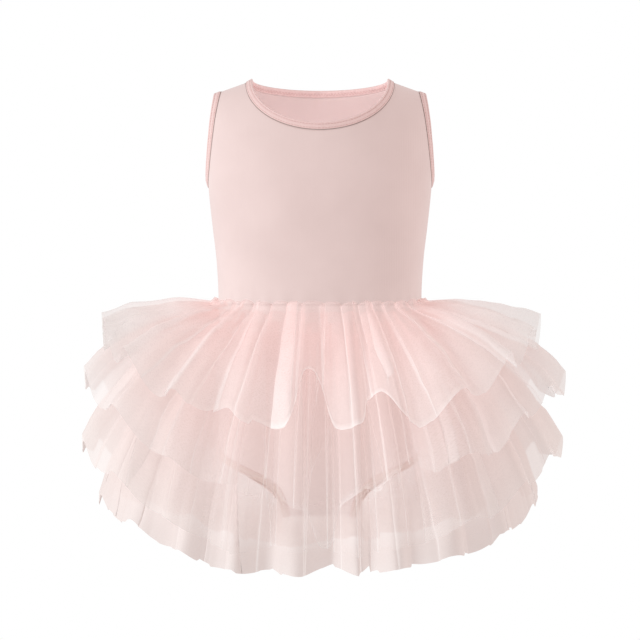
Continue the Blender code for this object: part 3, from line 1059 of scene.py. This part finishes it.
def frill_surface(number, frill, rng):
    """A frill's middle surface as arrays: rows go from the waist to the hem and columns go round."""
    net = NETS[number - 1]
    around = np.arange(FRILL_COLUMNS)[None, :] / FRILL_COLUMNS
    share = row_shares()[:, None]
    swing, layer = folded_over(around, share, frill.laps, rng)
    gather = gather_phase(swing, share, rng)
    swing = swing + GATHER_OVERLAP * (1 - GATHER_RELEASE * share) * np.sin(gather) / GATHERS
    turn = swing + SPACING_SWING * (np.sin(3 * swing + 1.0) + np.sin(7 * swing) / 2)
    sideways = np.cos(turn) ** 2
    fold = np.cos(FOLDS * swing)
    cut = cut_length(number, frill, swing, turn, fold, sideways, rng)
    # The slope steepens evenly down the cut, so the frill's profile is an arc
    start = np.radians(frill.front_start + (frill.side_start - frill.front_start) * sideways)
    end = np.radians(frill.front_end + (frill.side_end - frill.front_end) * sideways)
    bend = end - start
    slope = start + bend * share
    reach = cut * (np.sin(slope) - np.sin(start)) / bend
    fall = cut * (np.cos(start) - np.cos(slope)) / bend
    lift = standing_off(number, frill, swing, share, sideways, fold, gather)
    lift = lift + layer + crumples(swing, share, cut, rng)
    upright = UPRIGHT_SHARE * sideways
    level = reach + np.sin(slope) * (1 - upright) * lift
    level = level - PINCH * sideways * np.exp(-((share / PINCH_REACH) ** 2))
    raised = (np.cos(slope) + (1 - np.cos(slope)) * upright) * lift
    heading = HEADING * (HEADING_BASE + (1 - HEADING_BASE) * np.cos(gather))
    heading = heading * np.exp(-((share / HEADING_REACH) ** 2))
    height = WAIST_Z - frill.drop
    x, y, out_x, out_y = sewn_oval(turn, height)
    points = np.stack((x + out_x * level, y + out_y * level, height - fall + raised + heading), axis=-1)
    edge = bright_edges(net, swing, turn, share, sideways)
    closeness = net_closeness(net, share, sideways) + EDGE_DENSITY * edge
    from_waist = share * cut / LONGEST_CUT
    from_waist = from_waist + (share**SIDE_FADE - from_waist) * sideways
    return points, cut, {"from_waist": from_waist, "closeness": closeness, "edge": edge}


def tulle_frill(number, frill):
    """One frill of net: a single sheet, with its cut as UV and what its material reads as attributes."""
    rng = random.Random(FRILL_SEED + number)
    surface, cut, measures = frill_surface(number, frill, rng)
    rows, columns = surface.shape[:2]
    faces = [face[::-1] for face in grid_faces(rows, columns, False, True)]
    material = tulle_net(number, NETS[number - 1])
    piece = new_piece(f"tulle_frill_{number}", surface.reshape(-1, 3).tolist(), faces, material)
    mesh = piece.data
    for name, values in measures.items():
        mesh.attributes.new(name, "FLOAT", "POINT").data.foreach_set("value", values.reshape(-1))
    shares = np.repeat(row_shares(), columns)
    around = np.linalg.norm(np.roll(surface, -1, axis=1) - surface, axis=2).sum(axis=1)
    strip = float(around[rows * 3 // 4])
    uv = mesh.uv_layers.new(name="Cut")
    for polygon in mesh.polygons:
        ends = {vertex % columns for vertex in polygon.vertices}
        wraps = columns - 1 in ends and 0 in ends
        for loop_index, vertex in zip(polygon.loop_indices, polygon.vertices):
            column = vertex % columns
            across = 1.0 if wraps and column == 0 else column / columns
            uv.data[loop_index].uv = (across * strip, shares[vertex] * float(cut.mean()))
    # A net lets nearly all the light on to the layers behind it
    piece.visible_shadow = False
    piece.visible_diffuse = False
    dress_node(piece, "tulle", f"tulle_tier_{number}")


# The dress is put together


def bind_edge(node, loop, binding, cloth, seam_shade_or_thread, thread, bead):
    """An edge's binding, a thin tube in its seam, two rows of stitches and the loops behind. The tube is
    painted shade at the neck and armholes and thread at the legs.
    """
    frames = strip_frames(loop, binding)
    binding_piece(node, frames, binding, cloth)
    seam_line_tube(node, frames, seam_shade_or_thread)
    for row, far in enumerate(NEEDLE_ROWS, start=1):
        spots = walk(frames, far * binding.width, binding.wall * NEEDLE_HEIGHT, STITCH_STEP)
        sew(f"{node}_stitches_{row}", spots, STITCH_LENGTH, 0.0, bead, thread)
    middle = sum(NEEDLE_ROWS) / 2 * binding.width
    spots = walk(frames, middle, binding.wall * LOOPER_HEIGHT, LOOPER_STEP)
    sew(f"{node}_looper", spots, binding.width * LOOPER_LENGTH, math.radians(LOOPER_TILT), bead, thread)


def make_leotard(bead):
    knit = brushed_knit()
    trim = folded_binding("Folded jersey binding", BINDING_LOW, BINDING_HIGH)
    # The leg bindings are darkened to tan: painted shade along the leg edges
    elastic = folded_binding("Folded elastic binding in painted shade", LEG_SHADED_LOW, LEG_SHADED_HIGH)
    thread = thread_or_seam_shade("Spun polyester thread", THREAD_LOW, THREAD_HIGH)
    # Dark colours for the ditch beside the neck and armhole bindings: painted shade
    ditch = thread_or_seam_shade("Painted shade in the seam ditch", DITCH_SHADE_LOW, DITCH_SHADE_HIGH)
    for side, name in ((FRONT, "front"), (BACK, "back")):
        bodice = knit_panel(f"bodice_{name}", bodice_grid(side), side, knit)
        brief = knit_panel(f"brief_{name}", brief_grid(side), side, knit)
    crotch_gusset(knit)
    arm, leg = arm_loop(), leg_loop()
    edges = (
        ("neck_binding", neck_loop(), NECK_BINDING, trim, ditch),
        ("arm_binding_left", arm, ARM_BINDING, trim, ditch),
        ("arm_binding_right", other_side(arm), ARM_BINDING, trim, ditch),
        ("leg_binding_left", leg, LEG_BINDING, elastic, thread),
        ("leg_binding_right", other_side(leg), LEG_BINDING, elastic, thread),
    )
    for node, loop, binding, cloth, seam_shade_or_thread in edges:
        bind_edge(node, loop, binding, cloth, seam_shade_or_thread, thread, bead)


# Room, light and camera


def light_inside(scene):
    """A small lamp in the hollow, so that the inside of the back is as bright as in the photograph."""
    lamp = bpy.data.lights.new("inside_lamp", "POINT")
    lamp.energy = INSIDE_POWER
    lamp.shadow_soft_size = INSIDE_RADIUS
    lamp.color = INSIDE_COLOUR
    holder = bpy.data.objects.new("inside_lamp", lamp)
    holder.location = INSIDE_PLACE
    holder.visible_camera = False
    scene.collection.objects.link(holder)


def light_room(scene):
    """An even white room, which shows as pure white where the camera sees it."""
    world = bpy.data.worlds.new("White studio")
    scene.world = world
    world.use_nodes = True
    tree = world.node_tree
    background = tree.nodes["Background"]
    background.inputs["Color"].default_value = linear("FFFFFF")
    seen = add_node(tree, "ShaderNodeLightPath").outputs["Is Camera Ray"]
    strength = add_node(tree, "ShaderNodeMapRange", Value=seen, n1=0.0, n2=1.0, n3=AMBIENT, n4=1.0)
    tree.links.new(strength.outputs[0], background.inputs["Strength"])


def lay_floor():
    """A pale floor in matt wall paint, which shows no gloss, below the dress."""
    select_nothing()
    bpy.ops.mesh.primitive_circle_add(
        vertices=FLOOR_SIDES, radius=FLOOR_RADIUS, fill_type="NGON", location=(0, 0, FLOOR_Z)
    )
    floor = bpy.context.active_object
    floor.name = "pale_floor"
    paint, _, shader = new_material("Matt white floor")
    shader.inputs["Base Color"].default_value = linear(FLOOR_WHITE)
    shader.inputs["Roughness"].default_value = 0.9
    floor.data.materials.append(paint)


def studio():
    scene = bpy.context.scene
    light_inside(scene)
    scene.view_settings.view_transform = "Standard"
    scene.cycles.transparent_max_bounces = NET_LAYERS_SEEN
    light_room(scene)
    lay_floor()
    for name, place, size, power, colour in LAMPS:
        lamp = bpy.data.lights.new(name, "AREA")
        lamp.shape = "DISK"
        lamp.size = size
        lamp.energy = power
        lamp.color = colour
        holder = bpy.data.objects.new(name, lamp)
        holder.location = place
        holder.rotation_euler = (AIM - Vector(place)).to_track_quat("-Z", "Y").to_euler()
        scene.collection.objects.link(holder)


def camera():
    """A camera far off at the photograph's own angle, which frames the dress as the photograph does."""
    scene = bpy.context.scene
    data = bpy.data.cameras.new("camera")
    data.sensor_width = SENSOR * 1000
    data.lens = SENSOR * 1000 * CAMERA_DISTANCE / (PHOTO_SIZE * PIXEL)
    holder = bpy.data.objects.new("camera", data)
    middle = Vector((0.0, 0.0, (SHOULDER_ROW - PHOTO_SIZE / 2) * PIXEL))
    rise = math.radians(CAMERA_RISE)
    holder.location = middle + Vector((0.0, -math.cos(rise), math.sin(rise))) * CAMERA_DISTANCE
    holder.rotation_euler = (math.pi / 2 - rise, 0.0, 0.0)
    scene.collection.objects.link(holder)
    scene.camera = holder


stitch = stitch_shape()
camera()
studio()
make_leotard(stitch)
for tier, frill_sizes in enumerate(FRILLS, start=1):
    tulle_frill(tier, frill_sizes)
